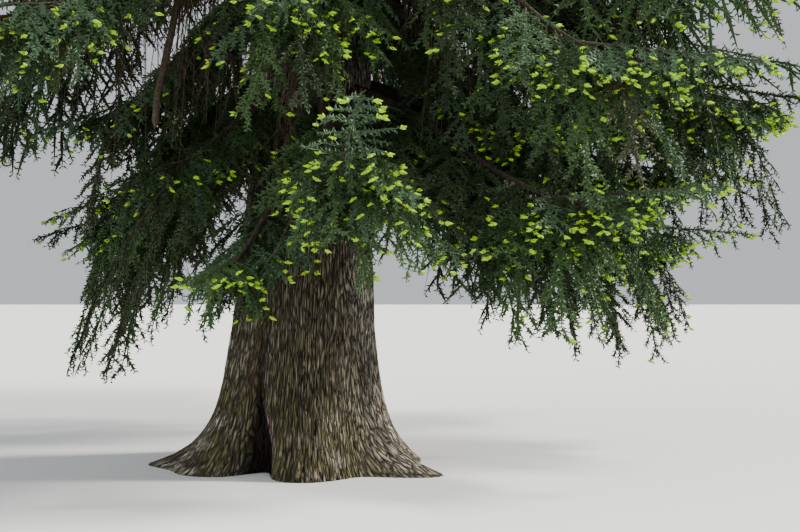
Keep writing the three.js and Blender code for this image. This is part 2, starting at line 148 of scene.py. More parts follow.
SUNNY_SIDE = -35  # degrees, where most young shoots are
MIDDLE_BELOW = 7.0  # upper boughs that leave the trunk lower than this follow the middle plan
FINE = {"side": -85, "spread": 112, "below": 5.1}  # where the boughs are that are seen from near
TIP_REACH = 0.72  # how far the last spray runs past a bough's end, as a share of the solid's

# A young shoot, by shares of its length: its rings and how wide they are. They stand in threes, a
# middle one and one turned to each side, and a few of those at the side are missing.
BUD = {"rings": (-0.1, 0.38, 1.0), "wide": (0.15, 0.28, 0.05), "turns": (0.0, 1.15, -1.15)}
BUD_SIDE = {"kept": 0.8, "length": 0.85}

# The kinds of dead twigs on a bough: how many, within what share of the bough, how far they lean
# to the side, how steep they hang, the longest as a share of the fan, and how many twiglets.
SHORT_BARE = (18, 0.62, 1.0, (0.1, 1.0), 0.85, 4)
LONG_BARE = (44, 0.42, 0.4, (1.0, 1.4), 1.6, 8)

# The dead limb that hangs left of the trunk, and its radius by how many points of it are passed.
DEAD_LIMB = {
    "across": (-0.58, -0.69, -0.83, -0.93, -0.95),
    "deep": (-1.03, -1.08, -1.1, -1.1, -1.1),
    "up": (4.74, 4.1, 3.4, 2.95, 2.68),
    "passed": (0, 3, 3.7, 3.98, 4),
    "radii": (0.034, 0.024, 0.03, 0.022, 0.001),
}

# The bark on the lower and the upper trunk: where the lower ends, the mesh's sides and rings, the
# columns of plates and their relief.
LOW_BARK = {"top": 4.4, "sides": 400, "columns": 158, "depth": 0.022}
HIGH_BARK = {"rings": 88, "sides": 96, "columns": 40, "depth": 0.01}
PLATE_ROWS = 97  # rows of plates after which their shapes come round again
GIRTH = 380  # centimetres round the trunk, by which a column of plates gets its width
FOOT = {"sides": 96, "inset": 0.012}

# A knot where a small branch came off, and the sharp-edged hollow at the fold's foot.
KNOT = {"azimuth": -30, "height": 0.72, "size": 0.075, "out": 0.03}
CLEFT = {"edge": -121, "spread": 19, "height": 0.68, "depth": 0.07}

# Colours of the bark, of limbs and dead twigs where they are light and dark, and of needles.
BARK = {
    "plates": ((0.2, 0.172, 0.13), (0.285, 0.25, 0.2), (0.49, 0.445, 0.375)),
    "worn": (0.2, 0.16, 0.11),
    "moss": (0.092, 0.094, 0.038),
    "stain": (0.15, 0.09, 0.045),
    "lip": (0.23, 0.17, 0.15),
    "crack": (0.03, 0.022, 0.016),
    "furrow": (0.02, 0.015, 0.011),
    # the painted shade's colour: the fold's crease, the hollow, the cleft and the trunk under the crown
    "hollow": (0.012, 0.009, 0.007),
}
LIMB_COLOURS = ((0.052, 0.043, 0.031), (0.02, 0.016, 0.012))
DEAD_COLOURS = ((0.1, 0.075, 0.05), (0.04, 0.03, 0.021))
GREENS = {
    "old": (0.029, 0.033, 0.013),
    "deep": (0.018, 0.034, 0.011),
    "mid": (0.034, 0.068, 0.02),
    "blue": (0.048, 0.088, 0.043),
}
YOUNG_GREEN = (0.29, 0.5, 0.018)

# The studio: the floor, the sky's light, and the suns with their direction, height, strength,
# width and colour. The camera's rise is the slope at which it looks up.
FLOOR = {"reach": 60, "colour": (0.62, 0.63, 0.62)}
SKY = {"colour": (0.86, 0.9, 0.95), "strength": 0.7}
SUNS = [
    ("key", -30, 55, 4.0, 10, (1.0, 0.97, 0.9)),
    ("side", 5, 22, 10.0, 8, (1.0, 0.95, 0.88)),
    ("fill", -145, 16, 3.3, 60, (0.97, 0.98, 1.0)),
]
CAMERA = {"lens": 49.5, "sensor": 36, "reach": 500, "place": (0.8925, -9.35, 1.55), "rise": 14 / 1100}


def mix(a, b, share):
    return a + (b - a) * share


def unit(vectors):
    return vectors / np.maximum(np.linalg.norm(vectors, axis=-1, keepdims=True), 1e-9)


def smooth(low, high, value):
    share = np.clip((value - low) / (high - low), 0, 1)
    return share * share * (3 - 2 * share)


# Degrees between two directions, from 0 to 180.
def turn_between(a, b):
    return np.abs((a - b + 180) % 360 - 180)


def bell(x, width):
    return np.exp(-((x / width) ** 2))


def outward(azimuth):
    angle = np.radians(azimuth)
    return np.stack([np.cos(angle), np.sin(angle), angle * 0], -1)


def trunk_centre(z):
    z = np.asarray(z, float)
    return np.stack([TRUNK["lean"] * (1 - np.exp(-z / TRUNK["lean_fade"])), z * 0, z], -1)


def trunk_radius(azimuth, z):
    radius = TRUNK["stem"] * (1 - z / HEIGHT) + TRUNK["swell"] * np.exp(-z / TRUNK["fade"])
    lobes = sum(share * np.cos(np.radians(waves * (azimuth - turn))) for waves, share, turn in LOBES)
    radius = radius * (1 + lobes * np.exp(-z / LOBE_FADE))
    radius = radius + ROOT_FLARE["out"] * np.exp(-z / ROOT_FLARE["fade"])
    for towards, out, fade, spread in ROOTS:
        radius = radius + out * bell(turn_between(azimuth, towards), spread) * np.exp(-z / fade)
    for dent in (FOLD, HOLLOW):
        across = bell(turn_between(azimuth, dent["azimuth"]), dent["spread"])
        radius = radius - dent["depth"] * across * bell(z, dent["fade"])
    return radius


# The seeded numbers that the solids use, so that the spiral comes out where they are.
def source_random(seed):
    mask = 0xFFFFFFFF
    state = seed

    def number():
        nonlocal state
        state = (state + 0x6D2B79F5) & mask
        mixed = ((state ^ (state >> 15)) * (state | 1)) & mask
        product = ((mixed ^ (mixed >> 7)) * (mixed | 61)) & mask
        mixed = ((mixed + product) & mask) ^ mixed
        return ((mixed ^ (mixed >> 14)) & mask) / (mask + 1)

    return number


class Curve:
    """The line of a bough, a cubic through four points."""

    def __init__(self, *points):
        self.points = np.array(points)
        steps = self.at(np.linspace(0, 1, 41))
        self.length = np.linalg.norm(np.diff(steps, axis=0), axis=1).sum()

    def at(self, along):
        t = np.asarray(along, float)[..., None]
        a, b, c, d = self.points
        return a * (1 - t) ** 3 + b * 3 * t * (1 - t) ** 2 + c * 3 * t * t * (1 - t) + d * t**3

    def tangent(self, along):
        t = np.asarray(along, float)[..., None]
        a, b, c, d = self.points
        return unit((b - a) * (1 - t) ** 2 + (c - b) * 2 * t * (1 - t) + (d - c) * t * t)


def bough_curve(azimuth, base, reach, tip, out, end, from_axis):
    inside = trunk_radius(azimuth, base) * LINE["start"]
    root = trunk_centre(base) + outward(azimuth) * inside
    far = (trunk_centre(base) if from_axis else 0) + outward(azimuth) * reach
    far[2] = tip
    handle = np.linalg.norm(far - root) * LINE["handle"]

    def slope(degrees):
        return outward(azimuth) * math.cos(math.radians(degrees)) + UP * math.sin(math.radians(degrees))

    return Curve(root, root + slope(out) * handle, far - slope(end) * handle, far)


# One bough of the upper crown, by where it is between the lowest and the topmost.
def upper_bough(share, azimuth, reach_share, row):
    base = mix(row["from"], row["to"], share * mix(1, share, SPIRAL["crowding"]))
    narrowed = ((HEIGHT - base) / (HEIGHT - OUTLINE["from"])) ** OUTLINE["power"]
    reach = OUTLINE["reach"] * narrowed * reach_share
    up = (base / HEIGHT) ** LIFT_POWER
    lie = {key: mix(LOWEST[key], TOPMOST[key], up) for key in LOWEST}
    tip = base + lie["rise"] * reach
    return {
        "curve": bough_curve(azimuth, base, reach, tip, lie["out"], lie["end"], True),
        "fan": lie["fan"] * reach * row["fan"],
        "sag": lie["sag"],
        "root": mix(STEM["least"], STEM["root"], reach / OUTLINE["reach"]),
        "sprays": UPPER_SPRAYS,
    }


def low_boughs():
    boughs = []
    for name, azimuth, base, reach, tip, out, end, fan, sprays in LOW_BOUGHS + LOW_FILL:
        bough = {
            "name": name,
            "curve": bough_curve(azimuth, base, reach, tip, out, end, False),
            "fan": fan,
            "sag": LOW_PLAN["sag"],
            "sprays": sprays,
            "in_solids": not name.startswith("between"),
        }
        boughs.append(bough)
    return boughs


# Whether a low bough is low enough, and on the side, to be seen from near.
def is_near(bough):
    root, *_, tip = bough["curve"].points
    azimuth = math.degrees(math.atan2(tip[1], tip[0]))
    return root[2] < FINE["below"] and turn_between(azimuth, FINE["side"]) < FINE["spread"]


def upper_boughs(rng):
    number = source_random(SPIRAL["seed"])
    count = SPIRAL["count"]
    stray = SPIRAL["stray"]
    boughs = []
    for i in range(count):
        reach_share = mix(*SPIRAL["reach"], number())
        azimuth = SPIRAL["first"] + GOLDEN_TURN * i + mix(-stray, stray, number())
        share = i / (count - 1)
        boughs.append(upper_bough(share, azimuth, reach_share, SPIRAL))
    for i in range(FILL["count"]):
        share = (i + 0.5) / FILL["count"]
        azimuth = FILL["first"] + GOLDEN_TURN * i + rng.uniform(-FILL["stray"], FILL["stray"])
        reach_share = rng.uniform(*FILL["reach"])
        boughs.append(upper_bough(share, azimuth, reach_share, FILL))
    return boughs


# A mesh from arrays of points and of faces with as many corners each. The values, numbers or
# places, belong to the points.
def mesh_object(name, points, faces, smooth_shaded=True, values=()):
    mesh = bpy.data.meshes.new(name)
    mesh.vertices.add(len(points))
    mesh.vertices.foreach_set("co", np.ascontiguousarray(points, np.float32).ravel())
    mesh.loops.add(faces.size)
    mesh.loops.foreach_set("vertex_index", np.ascontiguousarray(faces, np.int32).ravel())
    mesh.polygons.add(len(faces))
    mesh.polygons.foreach_set("loop_start", np.arange(0, faces.size, faces.shape[1], dtype=np.int32))
    mesh.polygons.foreach_set("use_smooth", np.full(len(faces), smooth_shaded))
    for key, numbers in values:
        kind, field = ("FLOAT_VECTOR", "vector") if np.ndim(numbers) == 3 else ("FLOAT", "value")
        attribute = mesh.attributes.new(key, kind, "POINT")
        attribute.data.foreach_set(field, np.ascontiguousarray(numbers, np.float32).ravel())
    mesh.update(calc_edges=True)
    piece = bpy.data.objects.new(name, mesh)
    bpy.context.scene.collection.objects.link(piece)
    return piece


def finished(piece, material, nodes=()):
    piece.data.materials.append(material)
    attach(piece, "root")
    if nodes:
        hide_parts(*nodes)


# Loose triangles, three corners each, as one or more pieces that aren't too large.
def triangle_pieces(name, corners, material, nodes=()):
    count = math.ceil(len(corners) / MOST_TRIANGLES)
    for i, part in enumerate(np.array_split(corners, count)):
        label = name if count == 1 else f"{name}_{i + 1}"
        faces = np.arange(len(part) * 3).reshape(-1, 3)
        piece = mesh_object(label, part.reshape(-1, 3), faces, smooth_shaded=False)
        finished(piece, material, nodes)


# The four-sided faces between rings of points, which are numbered along them and round them.
def ring_faces(index):
    beside = np.roll(index, -1, axis=-1)
    corners = index[..., :-1, :], beside[..., :-1, :], beside[..., 1:, :], index[..., 1:, :]
    return np.stack(corners, -1).reshape(-1, 4)


class Tubes:
    """Tapering tubes round lines, joined into one mesh."""

    def __init__(self):
        self.points = []
        self.faces = []
        self.count = 0

    def add(self, paths, radii, sides, rough=0.0, rng=None):
        lines, steps = radii.shape
        along = unit(np.gradient(paths, axis=1))
        steep = np.abs(unit(along.mean(axis=1, keepdims=True))[..., 2:]) > 0.8
        aside = np.where(steep, np.array([1.0, 0.2, 0.0]), UP)
        side = unit(np.cross(aside, along))
        over = np.cross(along, side)
        angles = np.arange(sides) * 2 * math.pi / sides
        ring = side[:, :, None] * np.cos(angles)[:, None] + over[:, :, None] * np.sin(angles)[:, None]
        wide = np.repeat(radii[:, :, None, None], sides, axis=2)
        if rough:
            wide = wide * (1 + rng.normal(0, rough, wide.shape))
        points = paths[:, :, None] + ring * wide
        index = np.arange(lines * steps * sides).reshape(lines, steps, sides) + self.count
        self.points.append(points.reshape(-1, 3))
        self.faces.append(ring_faces(index))
        self.count += lines * steps * sides

    def piece(self, name, material, nodes=(), slot="limb"):
        made = mesh_object(name, np.concatenate(self.points), np.concatenate(self.faces))
        finished(made, material, nodes)


class Shoots:
    """Straight bits of needle-bearing shoots, each lying in the plane of its spray."""

    def __init__(self):
        self.starts = []
        self.ends = []
        self.flats = []

    def add(self, paths, flats):
        self.starts.append(paths[:, :-1].reshape(-1, 3))
        self.ends.append(paths[:, 1:].reshape(-1, 3))
        self.flats.append(np.repeat(flats, paths.shape[1] - 1, axis=0))

    # The slim cores of the shoots, two crossed lozenges each, and the needles along them.
    def triangles(self, plan, rng):
        starts = np.concatenate(self.starts)
        spans = np.concatenate(self.ends) - starts
        lengths = np.linalg.norm(spans, axis=1)
        axes = unit(spans)
        flats = np.concatenate(self.flats)
        sides = unit(flats - axes * np.sum(flats * axes, axis=1, keepdims=True))
        overs = np.cross(axes, sides)
        cores = self.cores(starts, spans, sides, overs, plan["core"])
        needles = self.needles(starts, lengths, axes, sides, overs, plan, rng)
        return np.concatenate([cores, needles])

    def cores(self, starts, spans, sides, overs, wide):
        back = starts - spans * 0.25
        front = starts + spans * 1.08
        middle = starts + spans * 0.45
        found = []
        for across, share in ((sides, 0.5), (overs, 0.36)):
            reach = across * wide * share
            found.append(np.stack([back, middle + reach, front], 1))
            found.append(np.stack([back, front, middle - reach], 1))
        return np.concatenate(found)

    def needles(self, starts, lengths, axes, sides, overs, plan, rng):
        ends = np.cumsum(lengths)
        count = int(ends[-1] * plan["per_metre"])
        places = (np.arange(count) + rng.uniform(0, 1, count)) * ends[-1] / count
        which = np.minimum(np.searchsorted(ends, places), len(lengths) - 1)
        inside = places - ends[which] + lengths[which]
        rows = np.radians(NEEDLE_ROWS)
        angles = rows[np.arange(count) % len(rows)] + rng.normal(0, 0.22, count)
        around = sides[which] * np.cos(angles)[:, None] + overs[which] * np.sin(angles)[:, None]
        lean = rng.uniform(0.35, 0.75, count)[:, None]
        long, wide = plan["needle"]
        size = long * rng.uniform(0.75, 1.12, count)[:, None]
        foot = starts[which] + axes[which] * inside[:, None]
        tip = foot + unit(around + axes[which] * lean) * size
        belly = mix(foot, tip, 0.42) + axes[which] * columns(wide * np.where(angles > 1.57, -1, 1))
        return np.stack([foot, belly, tip], 1)


# Lines that set out straight and then sag. Each has its root, direction, length and fall, and q
# is how far along it a place is.
def arc_at(line, which, q):
    roots, directions, lengths, falls = (part[which] for part in line)
    ahead = directions * (lengths * q * (1 - 0.2 * falls * q))[:, None]
    return roots + ahead - UP * (lengths * falls * q * q)[:, None]


# The same lines as points from end to end.
def arcs(line, steps):
    roots, directions, run, fall = (part[:, None] for part in line)
    q = np.linspace(0, 1, steps + 1)[None, :, None]
    run, fall = run[..., None], fall[..., None]
    ahead = directions * run * q * (1 - 0.2 * fall * q)
    return roots + ahead - UP * run * fall * q * q


def arc_tangent(line, which, q):
    roots, directions, lengths, falls = (part[which] for part in line)
    return unit(directions * (1 - 0.4 * falls * q)[:, None] - UP * (2 * falls * q)[:, None])


def columns(values):
    return np.asarray(values)[:, None]


# Branches as lines, with how far along their bough they are and which of them hang.
def branch_set(roots, directions, lengths, falls, share, hanging):
    return {"line": (roots, directions, lengths, falls), "share": share, "hanging": hanging}


# Where the last spray starts, behind a bough's end, and its tip past that end.
def last_spray(bough):
    curve = bough["curve"]
    behind, before, end = curve.at(np.array([0.8, 0.95, 1.0]))
    past = max(bough["fan"] * 0.875, curve.length * 0.2) * TIP_REACH
    return np.stack([behind, end + unit(end - before) * past])


# The side branches of a bough: they leave it to the left and right by turns, and some of them
# hang from it. The last is the end of the bough itself.
def side_branches(bough, plan, rng):
    curve = bough["curve"]
    hang, dense, lopsided = bough["sprays"]
    first = plan["first"]
    count = max(int(curve.length * (1 - first) / plan["gap"] * dense), 4)
    order = np.arange(count)
    share = (order + rng.uniform(0.2, 0.8, count)) / count
    along = mix(first, 0.97, share)
    tangents = curve.tangent(along)
    hand = np.where(order % 2, 1, -1)
    sides = unit(np.cross(UP, tangents)) * columns(hand)
    angles = columns(np.radians(mix(60, 36, share) + rng.uniform(-7, 7, count)))
    spread = tangents * np.cos(angles) + sides * np.sin(angles)
    spread = unit(spread - UP * rng.uniform(-0.1, 0.24, (count, 1)))
    fan_shape = np.sin(math.pi * mix(0.2, 0.9, share) ** 0.8)
    lengths = bough["fan"] * fan_shape * rng.uniform(0.86, 1.16, count)
    inner = mix(0.45, 1, smooth(first, first + 0.26, along))
    hanging = ((order * 2) % 5 < plan["hang"]) & (share < 0.93)
    down = tangents * 0.5 + sides * rng.uniform(0.15, 0.7, (count, 1))
    down = unit(down - UP * rng.uniform(0.2, 0.8, (count, 1)))
    directions = np.where(columns(hanging), down, spread)
    hung = bough["fan"] * hang * rng.uniform(0.5, 0.95, count)
    lengths = np.where(hanging, hung * (0.5 + 0.5 * inner), lengths * inner)
    lengths = lengths * (1 + hand * lopsided)
    falls = bough["sag"] * rng.uniform(0.75, 1.35, count)
    falls = np.where(hanging, rng.uniform(0.35, 0.75, count), falls)
    end = last_spray(bough)
    return branch_set(
        np.concatenate([curve.at(along), end[:1]]),
        np.concatenate([directions, unit(end[1:] - end[:1])]),
        np.append(lengths, np.linalg.norm(end[1] - end[0]) * 1.02),
        np.append(falls, 0.0),
        np.append(share, 1.0),
        np.append(hanging, False),
    )


# Short sprays that arch over a low bough and hide it.
def mantle(bough, count, rng):
    order = np.arange(count)
    along = mix(0.05, 0.88, (order + rng.uniform(0, 1, count)) / count)
    tangents = bough["curve"].tangent(along)
    sides = unit(np.cross(UP, tangents)) * columns(np.where(order % 2, 1, -1))
    directions = tangents * 0.4 + sides * rng.uniform(0.4, 1.0, (count, 1))
    directions = unit(directions + UP * rng.uniform(-0.1, 0.4, (count, 1)))
    lengths = bough["fan"] * rng.uniform(0.28, 0.48, count)
    falls = rng.uniform(0.9, 1.7, count)
    return branch_set(bough["curve"].at(along), directions, lengths, falls, along, np.zeros(count, bool))


# The branchlets of some side branches, with which branch each grows from and how far along.
def branchlets(branches, plan, rng):
    line = branches["line"]
    counts = (line[2] / plan["fine_gap"]).astype(int) + 2
    which = np.repeat(np.arange(len(counts)), counts)
    total = len(which)
    order = np.arange(total) - np.repeat(np.cumsum(counts) - counts, counts)
    q = mix(0.1, 0.99, (order + rng.uniform(0.1, 0.9, total)) / counts[which])
    roots = arc_at(line, which, q)
    tangents = arc_tangent(line, which, q)
    level = np.cross(UP, tangents)
    sides = unit(np.where(np.linalg.norm(level, axis=1, keepdims=True) > 0.2, level, [1.0, 0.3, 0.0]))
    sides = sides * columns(np.where(order % 2, 1, -1))
    angles = np.radians(rng.uniform(32, 66, (total, 1)))
    spread = tangents * np.cos(angles) + sides * np.sin(angles)
    spread = spread + UP * rng.uniform(-0.22, 0.22, (total, 1))
    down = tangents * 0.35 + sides * rng.uniform(0, 0.5, (total, 1)) - UP
    often = np.where(branches["hanging"][which], 2, 1)
    hanging = ((order * 2) % 5 < often) & (q < 0.9)
    directions = unit(np.where(columns(hanging), down, spread))
    part, least, most = plan["fine"]
    is_last = branches["share"][which] >= 1
    part = part * np.where(is_last, 1.4, 1)
    most = most * np.where(is_last, 1.5 * (1 - q) ** 0.5 + 0.2, 1)
    lengths = line[2][which] * part * (1 - q) ** 0.6 * rng.uniform(0.75, 1.2, total) + least
    lengths = np.minimum(lengths, most * rng.uniform(0.6, 1.2, total))
    lengths = np.where(hanging, most * rng.uniform(0.45, 1.0, total), lengths)
    falls = rng.uniform(*plan["fine_sag"], total) * np.where(hanging, 0.2, 1)
    return {
        "line": (roots, directions, lengths, falls),
        "which": which,
        "q": q,
        "flat": tangents,
        "hanging": hanging,
    }


# Loose needles round young shoots, some for each.
def bud_needles(feet, directions, long, count, rng):
    place = (np.arange(count) + 0.4) / max(count, 1)
    angles = np.radians(GOLDEN_TURN) * np.arange(count) + rng.uniform(0, 6.3, len(feet))[:, None]
    side = unit(np.cross(directions, np.array([0.31, 0.2, 0.93])))
    over = np.cross(directions, side)
    around = side[:, None] * np.cos(angles)[..., None] + over[:, None] * np.sin(angles)[..., None]
    ahead = directions[:, None]
    foot = feet[:, None] + ahead * (long[:, None] * place * 0.7)[..., None]
    spread = (0.8 - 0.4 * place)[None, :, None]
    tip = foot + unit(ahead + around * spread) * (long[:, None] * (0.58 - 0.14 * place))[..., None]
    half = np.cross(ahead, around) * long[:, None, None] * 0.1
    middle = mix(foot, tip, 0.35)
    return np.stack([middle - half, middle + half, tip], 2).reshape(-1, 3, 3)


class Crown:
    """Everything that grows on some boughs by one plan."""

    def __init__(self, plan, seed):
        self.plan = plan
        self.rng = np.random.default_rng(seed)
        self.nodes = []  # the solids it stands for
        self.shoots = {kind: Shoots() for kind in GREENS}
        self.bud_needles = []
        self.buds = Tubes()
        self.twigs = Tubes()

    # A kind of green for each spray: older, browner needles inside, fresher ones outside.
    def deal(self, share, hanging):
        old, deep, mid, blue = GREENS
        draw = self.rng.uniform(0, 1, len(share)) + np.where(hanging, -0.2, 0.12) + share * 0.28
        return np.select([draw < 0.12, draw < 0.58, draw < 0.98], [old, deep, mid], blue)

    def grow(self, bough, branches=None):
        plan, rng = self.plan, self.rng
        branches = branches or side_branches(bough, plan, rng)
        fine = branchlets(branches, plan, rng)
        line = branches["line"]
        kinds = self.deal(branches["share"], branches["hanging"])
        steps, fine_steps = plan["steps"]
        paths = arcs(line, steps)
        flats = np.cross(UP, line[1]) + 1e-3
        fine_paths = arcs(fine["line"], fine_steps)
        for kind in GREENS:
            mine = kinds == kind
            self.shoots[kind].add(paths[mine, 1:], flats[mine])
            mine = mine[fine["which"]]
            self.shoots[kind].add(fine_paths[mine], fine["flat"][mine])
        thick = np.linspace(1, 0.15, steps + 1) * columns(0.004 + line[2] * 0.0075)
        every = 2 if steps > 2 else 1  # the twigs, hidden by needles, bend at fewer places
        self.twigs.add(paths[:, ::every], thick[:, ::every], 3)
        self.add_buds(branches, fine)

    # Soft young shoots in twos and threes, on the tips of the outer, upper branchlets, most of
    # them on the sunny side.
    def add_buds(self, branches, fine):
        plan, rng = self.plan, self.rng
        which = fine["which"]
        outer = 0.08 + 0.8 * smooth(0.3, 0.95, branches["share"][which])
        outer = outer * (0.25 + 0.75 * smooth(0.2, 0.7, fine["q"]))
        under = np.where(branches["hanging"][which], 0.12, 1) * np.where(fine["hanging"], 0.1, 1)
        root = fine["line"][0]
        azimuth = np.degrees(np.arctan2(root[:, 1], root[:, 0]))
        sunny = 0.4 + 1.2 * bell(turn_between(azimuth, SUNNY_SIDE), 60)
        chosen = rng.uniform(0, 1, len(which)) < plan["tip_share"] * outer * under * sunny
        line = tuple(part[chosen] for part in fine["line"])
        everyone = np.arange(chosen.sum())
        feet = arc_at(line, everyone, 1.0)
        heading = arc_tangent(line, everyone, 1.0)
        heading = unit(heading * np.array([1.0, 1.0, 0.4]) + UP * 0.2)
        aside = unit(np.cross(UP, heading) + UP * columns(rng.choice([-0.5, 0.5], len(heading))))
        size, count = plan["bud"]
        rings = columns(BUD["rings"])
        for turn in BUD["turns"]:
            kept = everyone
            if turn:
                kept = everyone[rng.uniform(0, 1, len(everyone)) < BUD_SIDE["kept"]]
            towards = heading[kept] + aside[kept] * turn
            towards = unit(towards + rng.normal(0, 0.1, (len(kept), 3)))
            long = size * rng.uniform(0.8, 1.2, len(kept)) * (BUD_SIDE["length"] if turn else 1)
            wide = np.array(BUD["wide"]) * columns(long)
            paths = feet[kept][:, None] + towards[:, None] * (columns(long)[:, None] * rings)
            self.buds.add(paths, wide, 3)
            self.bud_needles.append(bud_needles(feet[kept], towards, long, count, rng))


class Finish:
    """A material, with its nodes made from their inputs' values or from what feeds them."""

    def __init__(self, name, roughness=0.6):
        self.material = bpy.data.materials.new(name)
        self.material.use_nodes = True
        self.tree = self.material.node_tree
        self.shader = self.tree.nodes["Principled BSDF"]
        self.shader.inputs["Roughness"].default_value = roughness
        self.place = self.node("TexCoord").outputs["Object"]

    def node(self, kind, inputs=(), **settings):
        made = self.tree.nodes.new("ShaderNode" + kind)
        for key, value in settings.items():
            setattr(made, key, value)
        for key, value in dict(inputs).items():
            self.feed(made.inputs[key], value)
        return made

    def feed(self, socket, value):
        if isinstance(value, bpy.types.NodeSocket):
            self.tree.links.new(value, socket)
        else:
            socket.default_value = value

    def stretched(self, scale):
        return self.node("Mapping", {"Vector": self.place, "Scale": scale}).outputs[0]

    def noise(self, scale, detail=4.0, place=None):
        inputs = {"Vector": place or self.place, "Scale": scale, "Detail": detail}
        return self.node("TexNoise", inputs).outputs["Fac"]

    def cracks(self, scale, place):
        inputs = {"Vector": place, "Scale": scale}
        return self.node("TexVoronoi", inputs, feature="DISTANCE_TO_EDGE").outputs["Distance"]

    def ramp(self, value, stops):
        made = self.node("ValToRGB", {"Fac": value})
        bar = made.color_ramp
        while len(bar.elements) < len(stops):
            bar.elements.new(0.5)
        for element, (position, colour) in zip(bar.elements, stops):
            element.position = position
            element.color = (*colour, 1)
        return made.outputs["Color"]

    def grey(self, value, low, high, dark=0.0, light=1.0):
        return self.ramp(value, [(low, (dark,) * 3), (high, (light,) * 3)])

    def blend(self, share, first, second, kind="MIX"):
        made = self.node("Mix", {0: share}, data_type="RGBA", blend_type=kind)
        for key, value in ((6, first), (7, second)):
            self.feed(made.inputs[key], (*value, 1) if isinstance(value, tuple) else value)
        return made.outputs[2]

    def times(self, first, second):
        return self.node("Math", {0: first, 1: second}, operation="MULTIPLY").outputs[0]

    def value(self, name):
        return self.node("Attribute", attribute_name=name).outputs["Fac"]

    def bump(self, height, strength, distance, below=None):
        inputs = {"Height": height, "Strength": strength, "Distance": distance}
        if below is not None:
            inputs["Normal"] = below
        return self.node("Bump", inputs).outputs["Normal"]

    def set(self, **inputs):
        for key, value in inputs.items():
            self.feed(self.shader.inputs[key.replace("_", " ")], value)
        return self.material


# Rough, plated bark: dark furrows, grey-brown plates of uneven tone, paler on one side by painted
# light, moss low down, bare wood on the cleft's lip, and painted shade in the fold's crease, the
# hollow, the cleft and on the trunk under the crown.
def bark_material():
    finish = Finish("fir_bark", 0.9)
    finish.place = finish.node("Attribute", attribute_name="laid_out").outputs["Vector"]
    upright = finish.stretched((1, 1, 0.12))
    drift_inputs = {"Vector": upright, "Scale": 26.0, "Detail": 3.0}
    drift = finish.node("TexNoise", drift_inputs).outputs["Color"]
    warped = finish.blend(0.024, upright, drift, "ADD")
    fine = finish.cracks(52.0, warped)
    grain = finish.noise(95.0, 6.0, upright)
    patches = finish.noise(2.6, 3.0)
    tones = list(zip((0.0, 0.5, 1.0), BARK["plates"]))
    plain = finish.ramp(finish.value("tone"), tones)
    worn = finish.blend(finish.grey(patches, 0.42, 0.68, 0, 0.6), plain, BARK["worn"])
    mossy = finish.times(finish.value("moss"), finish.grey(finish.noise(7.0, 5.0), 0.24, 0.54))
    green = finish.blend(mossy, worn, BARK["moss"])
    stained = finish.blend(finish.value("stain"), green, BARK["stain"])
    lip = finish.times(finish.value("lip"), finish.grey(patches, 0.2, 0.6, 0.5, 1))
    smooth_lip = finish.blend(lip, stained, BARK["lip"])
    grained = finish.blend(0.75, smooth_lip, finish.grey(grain, 0.34, 0.64, 0.3, 1.25), "MULTIPLY")
    split = finish.blend(finish.grey(fine, 0.03, 0.19, 0.94, 0), grained, BARK["crack"])
    ragged = finish.noise(44.0, 5.0, upright)
    edge_inputs = {0: ragged, 1: 0.4, 2: finish.value("ridge")}
    edge = finish.node("Math", edge_inputs, operation="MULTIPLY_ADD")
    furrow = finish.grey(edge.outputs[0], 0.3, 0.72, 1, 0)
    colour = finish.blend(furrow, split, BARK["furrow"])
    # Painted shade, by the dark value, in the fold's crease, the hollow, the cleft and under the crown.
    shaded = finish.blend(finish.value("dark"), colour, BARK["hollow"])
    small = finish.bump(grain, 0.6, 0.006)
    large = finish.bump(finish.grey(fine, 0.0, 0.26), 1.0, 0.022, small)
    return finish.set(Base_Color=shaded, Normal=large, Specular_IOR_Level=0.18)


# Thinner, scalier bark on boughs and twigs.
def limb_material(name, light, dark, scale):
    finish = Finish(name, 0.88)
    deepest = tuple(channel * 0.3 for channel in dark)
    mottled = finish.noise(scale, 6.0)
    scaly = finish.cracks(scale * 1.5, finish.stretched((1, 1, 0.6)))
    colour = finish.ramp(mottled, [(0.32, dark), (0.68, light)])
    split = finish.blend(finish.grey(scaly, 0.0, 0.12, 0.7, 0), colour, deepest)
    normal = finish.bump(finish.grey(scaly, 0.0, 0.25), 0.6, 0.004, finish.bump(mottled, 0.5, 0.006))
    return finish.set(Base_Color=split, Normal=normal, Specular_IOR_Level=0.2)


# Needles of one plain green, waxy in places and a little uneven.
def needle_material(name, colour, waxy=0.5):
    finish = Finish(name)
    sheen = finish.grey(finish.noise(9.0, 2.0), 0.35, 0.65, waxy, waxy + 0.22)
    uneven = finish.bump(finish.noise(160.0, 2.0), 0.35, 0.002)
    return finish.set(Base_Color=(*colour, 1), Roughness=sheen, Normal=uneven, Specular_IOR_Level=0.22)


